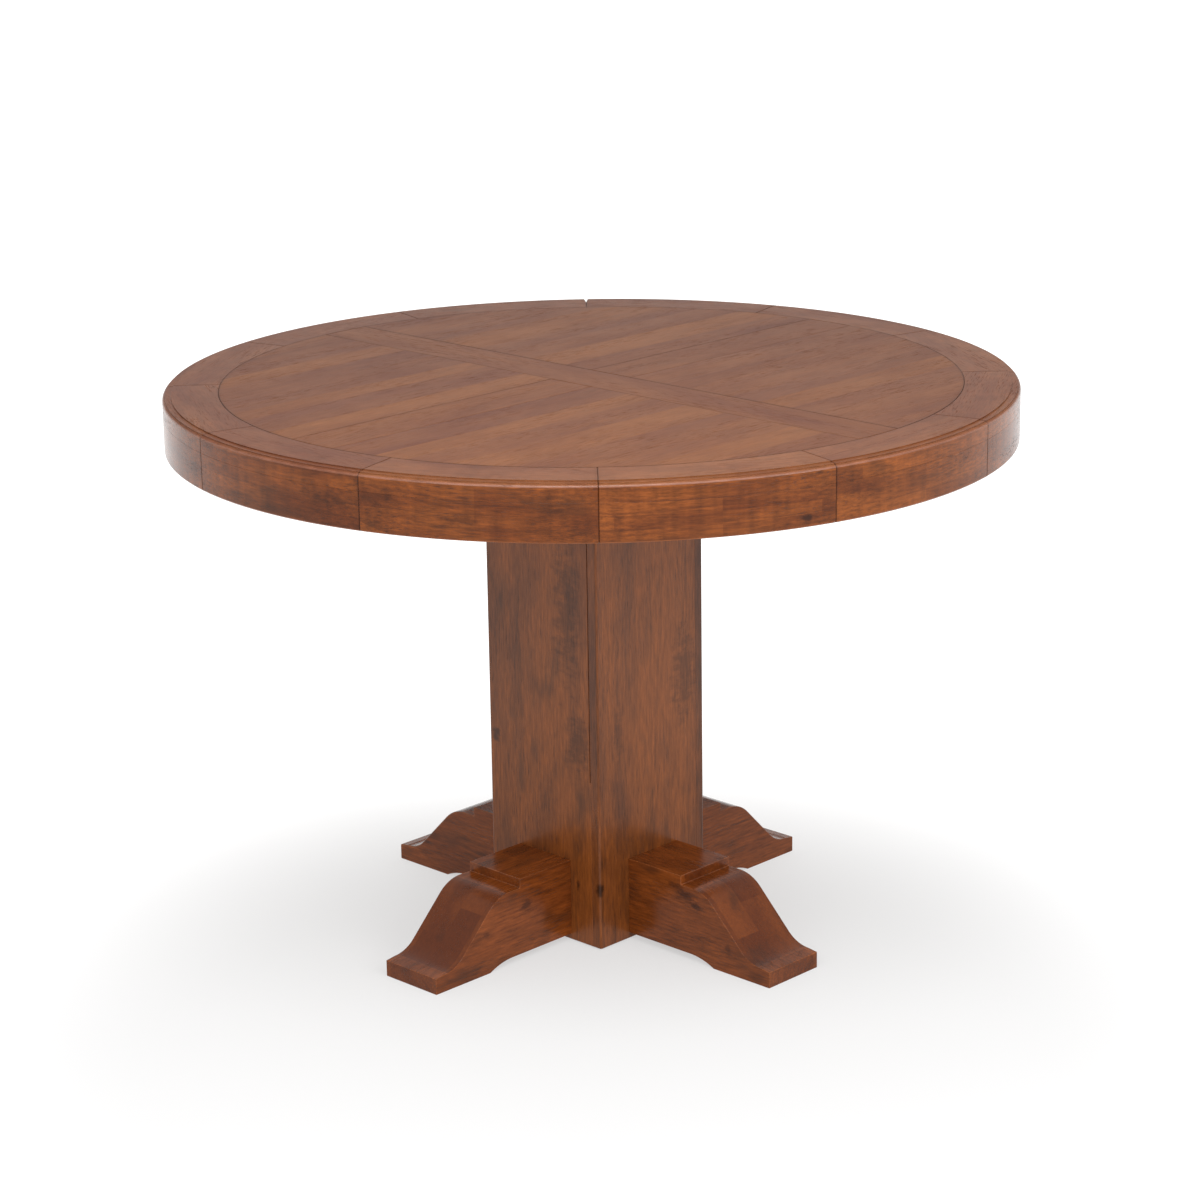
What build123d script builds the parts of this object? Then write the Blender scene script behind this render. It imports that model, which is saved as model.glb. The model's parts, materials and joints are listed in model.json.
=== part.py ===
from build123d import *
import math
import os

# Round pedestal dining table in stained oak: a twelve-sided border ring with a moulded edge round four
# quarter panels and a cross of bars, an apron under the ring, a square box column and four scrolled feet.
# Millimetres, +Z up. The origin is on the floor, on the column's axis. +X runs along the long bar, and
# the staves run along Y. The feet point along +X (front), +Y (left), -X (back) and -Y (right).

# Overall sizes
HEIGHT = 770
TOP_DIAMETER = 1150
CLEARANCE = 695

# Top: border ring, bars and quarter panels, all flush on both faces
TOP_THICKNESS = 25
BORDER_WIDTH = 75
BAR_WIDTH = 76
STAVES_PER_PANEL = 8
STAVE_WANDER = 0.16
SEGMENTS = 12
SEGMENT_ANGLE = 360 / SEGMENTS
FIRST_JOINT_ANGLE = SEGMENT_ANGLE / 2
EDGE_STEP = 1.5
EDGE_SHELF = 8
EDGE_ROUND = 4
JOINT_EASE = 0.8
SEAM_EASE = 0.8
APRON_THICKNESS = 25
APRON_EASE = 2
CHIP_JOINT = 5
CHIP_LENGTH = 38
CHIP_DEPTH = 8
CHIP_WIDTH = 8

# Column
COLUMN_SIDE = 210
COLUMN_BOARD = 15
COLUMN_LIFT = 2
COLUMN_ARRIS = 3
OPEN_JOINT_WIDTH = 1.8
OPEN_JOINT_DEPTH = 1.2
OPEN_JOINT_LOW = 240
BASE_BLOCK_HEIGHT = 28
HEAD_BLOCK_HEIGHT = 45
CORNER_BLOCK_SIDE = 25
CORNER_BLOCK_GAP = 10

# Feet, in the upright plane through the column's axis: distance out from the axis, and height
FOOT_WIDTH = 98
FOOT_REACH = 362
FOOT_RELIEF = 10
PAD_START = 262
PAD_CURVE_RUN = 43
CAP_TOP = 119
CAP_REACH = 203
LEDGE_HEIGHT = 106
LEDGE_REACH = 223
BROW_RADIUS = 53
SCROLL_SLOPE = 45
HOLLOW_RADIUS = 50
HOLLOW_BOTTOM = 24.4
TOE_HEIGHT = 22.5

# Frame under the top
BEARER_WIDTH = 110
BEARER_HEIGHT = 45
BEARER_REACH = 480
BEARER_TAPER = 60
BEARER_END_HEIGHT = 25
BATTEN_START = 75
BATTEN_END = 400
BATTEN_OFFSET = 260
BATTEN_WIDTH = 50
BATTEN_HEIGHT = 30

# Dowels
DOWEL_RADIUS = 5
RING_DOWEL_LENGTH = 60
RING_DOWEL_CIRCLE = 537
APRON_DOWEL_CIRCLE = 562
APRON_DOWEL_ANGLE = 8
APRON_DOWEL_DEPTH = 20
APRON_DOWEL_RISE = 15

# Screws, bolts, washers, nuts and inserts
SCREW_RADIUS = 2.25
SCREW_HEAD_RADIUS = 4.5
SCREW_HEAD_HEIGHT = 3
SCREW_STOP_SHORT = 8
BEARER_SCREWS = (120, 290, 450)
BATTEN_STAVES = range(1, 6)
BOLT_RADIUS = 4
BOLT_HOLE_RADIUS = 4.5
BOLT_ACROSS_FLATS = 13
BOLT_HEAD_HEIGHT = 5.3
NUT_HEIGHT = 6.5
WASHER_RADIUS = 8
WASHER_THICKNESS = 1.6
HEAD_BOLT_OFFSET = 70
HEAD_BOLT_RECESS = 8
HEAD_BOLT_TAIL = 12
RECESS_RADIUS = 10
FOOT_BOLT_HEIGHTS = (38, 92)
FOOT_BOLT_BITE = 23
INSERT_RADIUS = 6
INSERT_LENGTH = 25

# Derived sizes
TOP_RADIUS = TOP_DIAMETER / 2
RING_INNER = TOP_RADIUS - BORDER_WIDTH
TOP_UNDERSIDE = HEIGHT - TOP_THICKNESS
APRON_INNER = TOP_RADIUS - APRON_THICKNESS
BEARER_UNDERSIDE = TOP_UNDERSIDE - BEARER_HEIGHT
HALF_BAR = BAR_WIDTH / 2
HALF_BEARER = BEARER_WIDTH / 2
HALF_COLUMN = COLUMN_SIDE / 2
HOLLOW_SIDE = COLUMN_SIDE - 2 * COLUMN_BOARD
HALF_HOLLOW = HOLLOW_SIDE / 2
QUARTERS = ((1, 1), (-1, 1), (-1, -1), (1, -1))


def block(x0, x1, y0, y1, z0, z1):
    """A box between two opposite corners."""
    middle = ((x0 + x1) / 2, (y0 + y1) / 2, (z0 + z1) / 2)
    return Pos(*middle) * Box(x1 - x0, y1 - y0, z1 - z0)


def rod(radius, start, direction, length):
    """A round bar that starts at a point and runs along a direction."""
    disc = Plane(origin=start, z_dir=direction) * Circle(radius)
    return extrude(disc, amount=length)


def hex_prism(start, direction, length):
    """A hexagon bar, as for a bolt head or a nut."""
    across_corners_radius = BOLT_ACROSS_FLATS / math.sqrt(3)
    hexagon = Plane(origin=start, z_dir=direction) * RegularPolygon(across_corners_radius, 6)
    return extrude(hexagon, amount=length)


def on_circle(radius, degrees, z):
    """A point at a radius and an angle from +X."""
    angle = math.radians(degrees)
    return (radius * math.cos(angle), radius * math.sin(angle), z)


def tangent(degrees):
    """The direction along a circle at an angle from +X."""
    angle = math.radians(degrees)
    return (-math.sin(angle), math.cos(angle), 0)


def save(name, *solids):
    """Write one node: one solid, or a group of separate ones."""
    shape = solids[0] if len(solids) == 1 else Compound(list(solids))
    export_step(shape, f"parts/{name}.step")


# Top: border ring and apron


def border_section():
    """Section of the ring: a flat, a step, a shelf, a second step and a quarter round."""
    shelf = HEIGHT - EDGE_STEP
    shelf_edge = TOP_RADIUS - EDGE_ROUND
    flat_edge = shelf_edge - EDGE_SHELF
    round_top = shelf - EDGE_STEP
    round_start = (TOP_RADIUS, round_top - EDGE_ROUND)
    round_end = (shelf_edge, round_top)
    inner_and_base = Polyline(
        round_end,
        (shelf_edge, shelf),
        (flat_edge, shelf),
        (flat_edge, HEIGHT),
        (RING_INNER + SEAM_EASE, HEIGHT),
        (RING_INNER, HEIGHT - SEAM_EASE),
        (RING_INNER, TOP_UNDERSIDE),
        (TOP_RADIUS, TOP_UNDERSIDE),
        round_start,
    )
    quarter_round = RadiusArc(round_start, round_end, -EDGE_ROUND)
    return Plane.XZ * make_face(inner_and_base + quarter_round)


def apron_section():
    """Section of the apron: upright, with the lower outer edge eased."""
    return Plane.XZ * make_face(
        Polyline(
            (APRON_INNER, TOP_UNDERSIDE),
            (APRON_INNER, CLEARANCE),
            (TOP_RADIUS - APRON_EASE, CLEARANCE),
            (TOP_RADIUS, CLEARANCE + APRON_EASE),
            (TOP_RADIUS, TOP_UNDERSIDE),
            close=True,
        )
    )


def joint_angle(index):
    """Angle of the joint at the start of a ring or apron segment."""
    return FIRST_JOINT_ANGLE + SEGMENT_ANGLE * (index - 1)


def ring_dowel(index):
    """A dowel across one ring joint."""
    angle = joint_angle(index)
    x, y, z = on_circle(RING_DOWEL_CIRCLE, angle, HEIGHT - TOP_THICKNESS / 2)
    along = tangent(angle)
    half = RING_DOWEL_LENGTH / 2
    return rod(DOWEL_RADIUS, (x - along[0] * half, y - along[1] * half, z), along, RING_DOWEL_LENGTH)


def apron_dowels(index):
    """Two upright dowels between an apron segment and the ring segment above it."""
    middle = joint_angle(index) + SEGMENT_ANGLE / 2
    low = TOP_UNDERSIDE - APRON_DOWEL_DEPTH
    length = APRON_DOWEL_DEPTH + APRON_DOWEL_RISE
    angles = (middle - APRON_DOWEL_ANGLE, middle + APRON_DOWEL_ANGLE)
    return [rod(DOWEL_RADIUS, on_circle(APRON_DOWEL_CIRCLE, a, low), (0, 0, 1), length) for a in angles]


def shows(edge):
    """True where an edge lies on the outer face, the moulding or the flat of the top."""
    middle = edge @ 0.5
    radius = math.hypot(middle.X, middle.Y)
    on_top = middle.Z > HEIGHT - 2 * EDGE_STEP - 0.01 and radius > RING_INNER + SEAM_EASE
    return on_top or radius > TOP_RADIUS - EDGE_ROUND


def wedge(section, index):
    """Turn a section through one segment's angle, with the edges that show at its two joints eased."""
    piece = revolve(section, Axis.Z, SEGMENT_ANGLE)
    flats = piece.faces().filter_by(GeomType.PLANE)
    ends = [face for face in flats if abs(face.normal_at().Z) < 0.01]
    piece = chamfer([edge for face in ends for edge in face.edges() if shows(edge)], JOINT_EASE)
    return Rot(0, 0, joint_angle(index)) * piece


def chip():
    """The V-shaped bit worn out of the edge at one joint, deepest at the outer face."""
    x, y, z = on_circle(TOP_RADIUS - CHIP_LENGTH, joint_angle(CHIP_JOINT), HEIGHT)
    outward = (x, y, -math.hypot(x, y) * CHIP_DEPTH / CHIP_LENGTH)
    tall = 2 * CHIP_DEPTH
    corners = ((0, 0), (CHIP_WIDTH, tall), (-CHIP_WIDTH, tall))
    section = make_face(Polyline(*corners, close=True))
    plane = Plane(origin=(x, y, z), x_dir=tangent(joint_angle(CHIP_JOINT)), z_dir=outward)
    return extrude(plane * section, amount=2 * CHIP_LENGTH)


def make_ring():
    section = border_section()
    worn = chip()
    for i in range(SEGMENTS):
        piece = wedge(section, i) - ring_dowel(i) - ring_dowel(i + 1)
        if CHIP_JOINT - 1 <= i <= CHIP_JOINT:
            piece -= worn
        for dowel in apron_dowels(i):
            piece -= dowel
        save(f"ring_segment_{i + 1:02d}", piece)
    save("ring_dowels", *[ring_dowel(i) for i in range(SEGMENTS)])


def make_apron():
    section = apron_section()
    dowels = []
    for i in range(SEGMENTS):
        piece = wedge(section, i)
        for dowel in apron_dowels(i):
            piece -= dowel
            dowels.append(dowel)
        save(f"apron_segment_{i + 1:02d}", piece)
    save("apron_dowels", *dowels)


# Top: bars and quarter panels


def inside_ring(shape):
    """The part of a shape inside the ring."""
    disc = Pos(0, 0, HEIGHT) * Cylinder(RING_INNER, 4 * TOP_THICKNESS)
    return shape & disc


def stave_edges(panel):
    """Distances from the table's middle line to the edges of a quarter panel's staves."""
    width = (RING_INNER - HALF_BAR) / STAVES_PER_PANEL
    inner = [
        HALF_BAR + width * (i + STAVE_WANDER * math.sin(2.4 * i + 1.7 * panel))
        for i in range(1, STAVES_PER_PANEL)
    ]
    return [HALF_BAR] + inner + [RING_INNER]


def without(shape, cutters):
    """A shape with a row of holes cut."""
    for cutter in cutters:
        shape -= cutter
    return shape


def bar(shape, holes):
    """A bar cut to the ring, drilled, with its upper edges eased."""
    cut = inside_ring(shape)
    eased = chamfer(cut.faces().sort_by(Axis.Z)[-1].edges(), SEAM_EASE)
    return without(eased, holes)


def make_bars(holes):
    long_bar = block(-TOP_RADIUS, TOP_RADIUS, -HALF_BAR, HALF_BAR, TOP_UNDERSIDE, HEIGHT)
    short_bar = block(-HALF_BAR, HALF_BAR, HALF_BAR, TOP_RADIUS, TOP_UNDERSIDE, HEIGHT)
    save("bar_long", bar(long_bar, holes))
    save("bar_short_left", bar(short_bar, holes))
    save("bar_short_right", bar(Rot(0, 0, 180) * short_bar, holes))


def make_panels(holes):
    for number, (side_x, side_y) in enumerate(QUARTERS):
        edges = stave_edges(number)
        staves = []
        for near, far in zip(edges[:-1], edges[1:]):
            x0, x1 = sorted((side_x * near, side_x * far))
            y0, y1 = sorted((side_y * HALF_BAR, side_y * TOP_RADIUS))
            stave = inside_ring(block(x0, x1, y0, y1, TOP_UNDERSIDE, HEIGHT))
            staves.append(without(stave, [h for h in holes if x0 < h.center().X < x1]))
        save(f"panel_{number + 1}", *staves)


# Frame under the top


def screw(x, y, underside):
    """A countersunk wood screw driven up into the top."""
    shank = rod(SCREW_RADIUS, (x, y, underside), (0, 0, 1), HEIGHT - SCREW_STOP_SHORT - underside)
    head = Cone(SCREW_HEAD_RADIUS, SCREW_RADIUS, SCREW_HEAD_HEIGHT)
    return shank + Pos(x, y, underside + SCREW_HEAD_HEIGHT / 2) * head


def bearer_screws():
    """Screws through the bearers, three on each arm."""
    screws = []
    for step in BEARER_SCREWS:
        underside = BEARER_UNDERSIDE + bearer_rise(step)
        for x, y in ((step, 0), (-step, 0), (0, step), (0, -step)):
            screws.append(screw(x, y, underside))
    return screws


def bearer_rise(distance):
    """Height of a bearer's underside above its middle, at a distance along it."""
    into_taper = max(0, distance - (BEARER_REACH - BEARER_TAPER))
    return into_taper * (BEARER_HEIGHT - BEARER_END_HEIGHT) / BEARER_TAPER


def batten_screws():
    """Screws through the battens, one into the middle of each stave that they cross."""
    underside = TOP_UNDERSIDE - BATTEN_HEIGHT
    screws = []
    for number, (side_x, side_y) in enumerate(QUARTERS):
        edges = stave_edges(number)
        for stave in BATTEN_STAVES:
            x = (edges[stave] + edges[stave + 1]) / 2
            screws.append(screw(side_x * x, side_y * BATTEN_OFFSET, underside))
    return screws


def bearer():
    """One bearer along X, tapered underneath at both ends, before its half lap."""
    flat = BEARER_REACH - BEARER_TAPER
    end_low = TOP_UNDERSIDE - BEARER_END_HEIGHT
    outline = Polyline(
        (-BEARER_REACH, TOP_UNDERSIDE),
        (-BEARER_REACH, end_low),
        (-flat, BEARER_UNDERSIDE),
        (flat, BEARER_UNDERSIDE),
        (BEARER_REACH, end_low),
        (BEARER_REACH, TOP_UNDERSIDE),
        close=True,
    )
    return extrude(Plane.XZ * make_face(outline), amount=HALF_BEARER, both=True)


def make_bearers(screws, bolt_holes):
    half_lap = BEARER_UNDERSIDE + BEARER_HEIGHT / 2
    lower_notch = block(-HALF_BEARER, HALF_BEARER, -COLUMN_SIDE, COLUMN_SIDE, BEARER_UNDERSIDE, half_lap)
    upper_notch = block(-COLUMN_SIDE, COLUMN_SIDE, -HALF_BEARER, HALF_BEARER, half_lap, TOP_UNDERSIDE)
    holes = screws + bolt_holes
    save("bearer_long", without(bearer() - lower_notch, holes))
    save("bearer_cross", without(Rot(0, 0, 90) * bearer() - upper_notch, holes))


def make_battens(screws):
    low = TOP_UNDERSIDE - BATTEN_HEIGHT
    near = BATTEN_OFFSET - BATTEN_WIDTH / 2
    far = BATTEN_OFFSET + BATTEN_WIDTH / 2
    for number, (side_x, side_y) in enumerate(QUARTERS):
        x0, x1 = sorted((side_x * BATTEN_START, side_x * BATTEN_END))
        y0, y1 = sorted((side_y * near, side_y * far))
        save(f"batten_{number + 1}", without(block(x0, x1, y0, y1, low, TOP_UNDERSIDE), screws))


# Column


def column_board(holes):
    """The board on the +X side. Its edge shows on the -Y side, and its other edge butts on the +Y board."""
    inner = HALF_COLUMN - COLUMN_BOARD
    board = block(inner, HALF_COLUMN, -HALF_COLUMN, inner, COLUMN_LIFT, BEARER_UNDERSIDE)
    outer_corner = board.edges().filter_by(Axis.Z).sort_by_distance((HALF_COLUMN, -HALF_COLUMN, 0))[0]
    return without(fillet(outer_corner, COLUMN_ARRIS), holes)


def open_joint():
    """The groove of an open glue line, where the right-hand board meets the front board's edge."""
    x = HALF_COLUMN - COLUMN_BOARD
    bottom = OPEN_JOINT_DEPTH - HALF_COLUMN
    return block(x - OPEN_JOINT_WIDTH, x, -HALF_COLUMN - 1, bottom, OPEN_JOINT_LOW, BEARER_UNDERSIDE)


def make_column(bolt_holes):
    inner = HALF_HOLLOW
    base_top = COLUMN_LIFT + BASE_BLOCK_HEIGHT
    head_low = BEARER_UNDERSIDE - HEAD_BLOCK_HEIGHT
    board = column_board(foot_bolt_holes())
    for side, name in enumerate(("front", "left", "back", "right")):
        turned = Rot(0, 0, 90 * side) * board
        save(f"column_board_{name}", turned - open_joint() if name == "right" else turned)
    save("column_base_block", block(-inner, inner, -inner, inner, COLUMN_LIFT, base_top))
    head_block = block(-inner, inner, -inner, inner, head_low, BEARER_UNDERSIDE)
    save("column_head_block", without(head_block, bolt_holes))
    corner = inner - CORNER_BLOCK_SIDE
    low = base_top + CORNER_BLOCK_GAP
    high = head_low - CORNER_BLOCK_GAP
    save("column_corner_blocks", *four_ways(block(corner, inner, corner, inner, low, high)))


# Feet


def foot_outline():
    """Outline of a foot: cap, step, ledge, S-curve, toe, pad, and a shallow relief underneath."""
    slope = math.radians(SCROLL_SLOPE)
    brow_end = (
        LEDGE_REACH + BROW_RADIUS * math.sin(slope),
        LEDGE_HEIGHT - BROW_RADIUS * (1 - math.cos(slope)),
    )
    hollow_start_height = HOLLOW_BOTTOM + HOLLOW_RADIUS * (1 - math.cos(slope))
    straight = (brow_end[1] - hollow_start_height) / math.tan(slope)
    hollow_start = (brow_end[0] + straight, hollow_start_height)
    hollow_end = (hollow_start[0] + HOLLOW_RADIUS * math.sin(slope), HOLLOW_BOTTOM)
    relief_end = PAD_START - PAD_CURVE_RUN
    pad_radius = (PAD_CURVE_RUN**2 + FOOT_RELIEF**2) / (2 * FOOT_RELIEF)
    return [
        Polyline(
            (relief_end, FOOT_RELIEF),
            (HALF_COLUMN, FOOT_RELIEF),
            (HALF_COLUMN, CAP_TOP),
            (CAP_REACH, CAP_TOP),
            (CAP_REACH, LEDGE_HEIGHT),
            (LEDGE_REACH, LEDGE_HEIGHT),
        ),
        RadiusArc((LEDGE_REACH, LEDGE_HEIGHT), brow_end, BROW_RADIUS),
        Line(brow_end, hollow_start),
        RadiusArc(hollow_start, hollow_end, -HOLLOW_RADIUS),
        Polyline(hollow_end, (FOOT_REACH, TOE_HEIGHT), (FOOT_REACH, 0), (PAD_START, 0)),
        RadiusArc((PAD_START, 0), (relief_end, FOOT_RELIEF), -pad_radius),
    ]


def foot():
    """The foot on the +X side, drilled for its two threaded inserts."""
    body = extrude(Plane.XZ * make_face(foot_outline()), amount=FOOT_WIDTH / 2, both=True)
    for height in FOOT_BOLT_HEIGHTS:
        body -= rod(INSERT_RADIUS, (HALF_COLUMN, 0, height), (1, 0, 0), INSERT_LENGTH)
    return body


def make_feet():
    for side, name in enumerate(("front", "left", "back", "right")):
        save(f"foot_{name}", Rot(0, 0, 90 * side) * foot())


# Hardware


def four_ways(shape):
    """The same piece on all four sides."""
    return [Rot(0, 0, 90 * side) * shape for side in range(4)]


def foot_bolt_holes():
    """Holes in the +X board for one foot's bolts."""
    start = HALF_COLUMN - COLUMN_BOARD
    return [rod(BOLT_HOLE_RADIUS, (start, 0, z), (1, 0, 0), COLUMN_BOARD) for z in FOOT_BOLT_HEIGHTS]


def make_foot_hardware():
    board_inside = HALF_COLUMN - COLUMN_BOARD
    washer_inside = board_inside - WASHER_THICKNESS
    out = (1, 0, 0)
    bolts, washers, inserts = [], [], []
    for z in FOOT_BOLT_HEIGHTS:
        shank_length = HALF_COLUMN + FOOT_BOLT_BITE - washer_inside
        shank = rod(BOLT_RADIUS, (washer_inside, 0, z), out, shank_length)
        head = hex_prism((washer_inside - BOLT_HEAD_HEIGHT, 0, z), out, BOLT_HEAD_HEIGHT)
        washer = rod(WASHER_RADIUS, (washer_inside, 0, z), out, WASHER_THICKNESS)
        insert = rod(INSERT_RADIUS, (HALF_COLUMN, 0, z), out, INSERT_LENGTH)
        insert_bore = rod(BOLT_RADIUS, (HALF_COLUMN, 0, z), out, INSERT_LENGTH)
        bolts += four_ways(shank + head)
        washers += four_ways(washer - shank)
        inserts += four_ways(insert - insert_bore)
    save("foot_bolts", *bolts)
    save("foot_washers", *washers)
    save("foot_inserts", *inserts)


def head_bolt_holes():
    """Holes for the bolts that tie the bearers to the head block, with recesses for their heads."""
    length = BEARER_HEIGHT + HEAD_BLOCK_HEIGHT
    hole = rod(BOLT_HOLE_RADIUS, (HEAD_BOLT_OFFSET, 0, TOP_UNDERSIDE - length), (0, 0, 1), length)
    recess_floor = (HEAD_BOLT_OFFSET, 0, TOP_UNDERSIDE - HEAD_BOLT_RECESS)
    recess = rod(RECESS_RADIUS, recess_floor, (0, 0, 1), HEAD_BOLT_RECESS)
    return four_ways(hole + recess)


def make_head_hardware():
    seat = TOP_UNDERSIDE - HEAD_BOLT_RECESS
    block_underside = BEARER_UNDERSIDE - HEAD_BLOCK_HEIGHT
    nut_top = block_underside - WASHER_THICKNESS
    down = (0, 0, -1)
    shank_length = seat - nut_top + HEAD_BOLT_TAIL
    shank = rod(BOLT_RADIUS, (HEAD_BOLT_OFFSET, 0, seat), down, shank_length)
    head = hex_prism((HEAD_BOLT_OFFSET, 0, seat + BOLT_HEAD_HEIGHT), down, BOLT_HEAD_HEIGHT)
    washer = rod(WASHER_RADIUS, (HEAD_BOLT_OFFSET, 0, block_underside), down, WASHER_THICKNESS)
    nut = hex_prism((HEAD_BOLT_OFFSET, 0, nut_top), down, NUT_HEIGHT)
    save("head_bolts", *four_ways(shank + head))
    save("head_washers", *four_ways(washer - shank))
    save("head_nuts", *four_ways(nut - shank))


os.makedirs("parts", exist_ok=True)
long_screws = bearer_screws()
short_screws = batten_screws()
bolt_holes = head_bolt_holes()
make_ring()
make_apron()
make_bars(long_screws)
make_panels(short_screws)
make_bearers(long_screws, bolt_holes)
make_battens(short_screws)
make_column(bolt_holes)
make_feet()
make_foot_hardware()
make_head_hardware()
save("bearer_screws", *long_screws)
save("batten_screws", *short_screws)
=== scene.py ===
import json
import math
import random

import bpy
from mathutils import Matrix, Vector


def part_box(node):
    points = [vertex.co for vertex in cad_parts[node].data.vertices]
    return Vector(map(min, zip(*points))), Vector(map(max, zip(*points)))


# Looks for the round pedestal table. Metres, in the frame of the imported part: +Z up, the origin on the floor
# on the column's axis, +X along the top's long bar, +Y along its staves.

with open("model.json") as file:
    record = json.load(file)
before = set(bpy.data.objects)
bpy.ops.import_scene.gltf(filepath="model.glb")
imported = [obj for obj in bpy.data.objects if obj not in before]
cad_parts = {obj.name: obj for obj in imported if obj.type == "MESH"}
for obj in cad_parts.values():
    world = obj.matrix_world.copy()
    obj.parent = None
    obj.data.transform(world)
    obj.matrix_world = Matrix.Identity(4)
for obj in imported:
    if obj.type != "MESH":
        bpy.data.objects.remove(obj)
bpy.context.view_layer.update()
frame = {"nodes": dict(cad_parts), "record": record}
nodes = frame["nodes"]

# Sizes, from the frame
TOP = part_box("bar_long")[1].z
TOP_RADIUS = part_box("ring_segment_01")[1].x
HALF_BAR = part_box("bar_long")[1].y
APRON_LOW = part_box("apron_segment_01")[0].z
HALF_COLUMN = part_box("column_board_front")[1].x

# Sizes and counts that the boxes don't give, as in the part
BORDER_WIDTH = 0.075
RING_INNER = TOP_RADIUS - BORDER_WIDTH
SEGMENTS = 12
SEGMENT_ANGLE = math.tau / SEGMENTS
QUARTERS = 4
STAVES_PER_PANEL = 8
STAVE_WANDER = 0.16
SIDES = ("front", "left", "back", "right")
QUARTER_TURN = math.pi / 2

# Faces that have a wood of their own: the border's outside, by its depth and by how far it faces up, with a
# painted sheen and wear on the round, and a foot's S-curve, by how far it faces outward, also darker as
# painted shade
OUTSIDE_DEPTH = 0.003
OUTSIDE_FACES_UP = 0.7
UPRIGHT_FACES_UP = 0.1
SLOPE_FACES_OUT = (0.15, 0.99)

# Blocks glued up into the apron and the feet, and how much glued blocks differ in tone
COURSE_HEIGHT = 0.0165
COURSE_BLOCK = 0.07
COURSE_BLOCK_SPREAD = 0.09
COURSES_DIFFER = 0.4
STAVES_DIFFER = 0.8
FOOT_CORE = 0.041
FOOT_BLOCK = 0.075
LAYERS_DIFFER = 1.2

# The dark glue line between two staves of a column board
GLUE_LINE = 0.0015

# Where wear starts and ends: how far above the apron's lower edge, and how far in from the column's corner
APRON_WEAR = (0.0010, 0.0026)
CORNER_WEAR = (0.0030, 0.0018)

# Soft edges: their width by material, and the angles that count as flat and as sharp
BEVELS = {
    "border_oak": 0.0004,
    "apron_oak": 0.0004,
    "bar_oak": 0.0004,
    "column_oak": 0.0012,
    "foot_oak": 0.0018,
    "frame_wood": 0.0015,
}
FLAT_ANGLE = math.radians(0.5)
SHARP_ANGLE = math.radians(28)

# Camera: the photograph's viewing angle
CAMERA_DISTANCE = 4.209
CAMERA_HEIGHT = 1.688
CAMERA_AZIMUTH = math.radians(44.36)
CAMERA_PITCH = math.radians(16.29)
CAMERA_YAW = math.radians(0.10)
CAMERA_ROLL = math.radians(-0.84)
SENSOR_WIDTH = 36
LENS = 95.55


# Node graphs


class Graph:
    """Adds nodes to a tree. Its methods take sockets or plain values and return an output socket."""

    def __init__(self, tree):
        self.tree = tree

    def node(self, kind, **settings):
        node = self.tree.nodes.new(kind)
        for key, value in settings.items():
            setattr(node, key, value)
        return node

    def feed(self, socket, value):
        if isinstance(value, bpy.types.NodeSocket):
            self.tree.links.new(value, socket)
        else:
            socket.default_value = value

    def math(self, operation, *values, clamp=False):
        node = self.node("ShaderNodeMath", operation=operation, use_clamp=clamp)
        for socket, value in zip(node.inputs, values):
            self.feed(socket, value)
        return node.outputs[0]

    def vector(self, operation, *values):
        node = self.node("ShaderNodeVectorMath", operation=operation)
        for socket, value in zip(node.inputs, values):
            self.feed(socket, value)
        return node.outputs["Value" if operation == "LENGTH" else "Vector"]

    def ramp(self, value, low, high, to_low=0.0, to_high=1.0, smooth=True):
        """A value's range low..high, mapped to to_low..to_high and held there outside it."""
        kind = "SMOOTHSTEP" if smooth else "LINEAR"
        node = self.node("ShaderNodeMapRange", interpolation_type=kind)
        for socket, number in zip(node.inputs, (value, low, high, to_low, to_high)):
            self.feed(socket, number)
        return node.outputs[0]

    def noise(self, place, stretch, detail=2.0, roughness=0.5):
        """Noise from 0 to 1, with its frequency per metre along each axis in stretch."""
        node = self.node("ShaderNodeTexNoise")
        self.feed(node.inputs["Vector"], self.vector("MULTIPLY", place, stretch))
        self.feed(node.inputs["Scale"], 1.0)
        self.feed(node.inputs["Detail"], detail)
        self.feed(node.inputs["Roughness"], roughness)
        return node.outputs[0]

    def blend(self, factor, a, b, kind="MIX"):
        """Two colours mixed by a factor."""
        node = self.node("ShaderNodeMix", data_type="RGBA", blend_type=kind)
        for socket, value in zip((node.inputs[0], node.inputs[6], node.inputs[7]), (factor, a, b)):
            self.feed(socket, value)
        return node.outputs[2]

    def split(self, place):
        node = self.node("ShaderNodeSeparateXYZ")
        self.feed(node.inputs[0], place)
        return tuple(node.outputs)

    def join(self, x, y, z):
        node = self.node("ShaderNodeCombineXYZ")
        for socket, value in zip(node.inputs, (x, y, z)):
            self.feed(socket, value)
        return node.outputs[0]

    def attribute(self, name, output="Fac"):
        node = self.node("ShaderNodeAttribute", attribute_name=name)
        return node.outputs[output]

    def random(self, value):
        """A random number from 0 to 1 for each value."""
        node = self.node("ShaderNodeTexWhiteNoise", noise_dimensions="1D")
        self.feed(node.inputs["W"], value)
        return node.outputs["Value"]


def new_group(name, inputs, outputs):
    """An empty node group. Inputs and outputs are pairs of name and socket kind."""
    tree = bpy.data.node_groups.new(name, "ShaderNodeTree")
    for label, kind in inputs:
        tree.interface.new_socket(label, in_out="INPUT", socket_type=kind)
    for label, kind in outputs:
        tree.interface.new_socket(label, in_out="OUTPUT", socket_type=kind)
    graph = Graph(tree)
    return graph, graph.node("NodeGroupInput").outputs, graph.node("NodeGroupOutput").inputs


FLOAT = "NodeSocketFloat"
VECTOR = "NodeSocketVector"

# Oak. Its figure is solid: growth rings round a heart that lies beside the piece, with the grain along X.
RING_SPACING = 0.0062
RING_BEND = 0.060
RING_RIPPLE = 0.008
KNOT_CELLS_ALONG = 4.5
KNOT_CELLS_ACROSS = 9.0
CELLS_WITHOUT_KNOT = 0.66


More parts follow.
